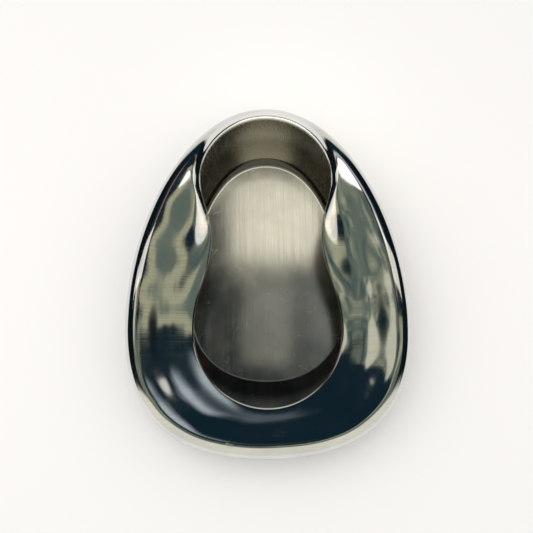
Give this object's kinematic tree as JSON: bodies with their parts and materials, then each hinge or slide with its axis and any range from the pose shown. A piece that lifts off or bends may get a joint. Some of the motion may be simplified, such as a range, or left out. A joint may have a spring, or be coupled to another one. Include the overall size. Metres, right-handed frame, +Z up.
{
  "type": "bedpan",
  "caption": "Adult bedpan in polished steel: flat-based bowl, contoured seat with a keyhole opening and a turned-down lip.",
  "frame": {"origin": "on the surface the pan stands on, under the middle of its length and width", "axes": "+Y along the pan to its narrow front end, +X to the right, +Z up"},
  "size_m": [0.2886, 0.3546, 0.096],
  "materials": {
    "seat_steel": "polished",
    "bowl_steel": "satin",
    "weld_steel": "satin"
  },
  "bodies": {
    "root": {"pan_bowl": "bowl_steel", "seat_shell": "seat_steel", "perimeter_weld": "weld_steel"}
  },
  "joints": []
}
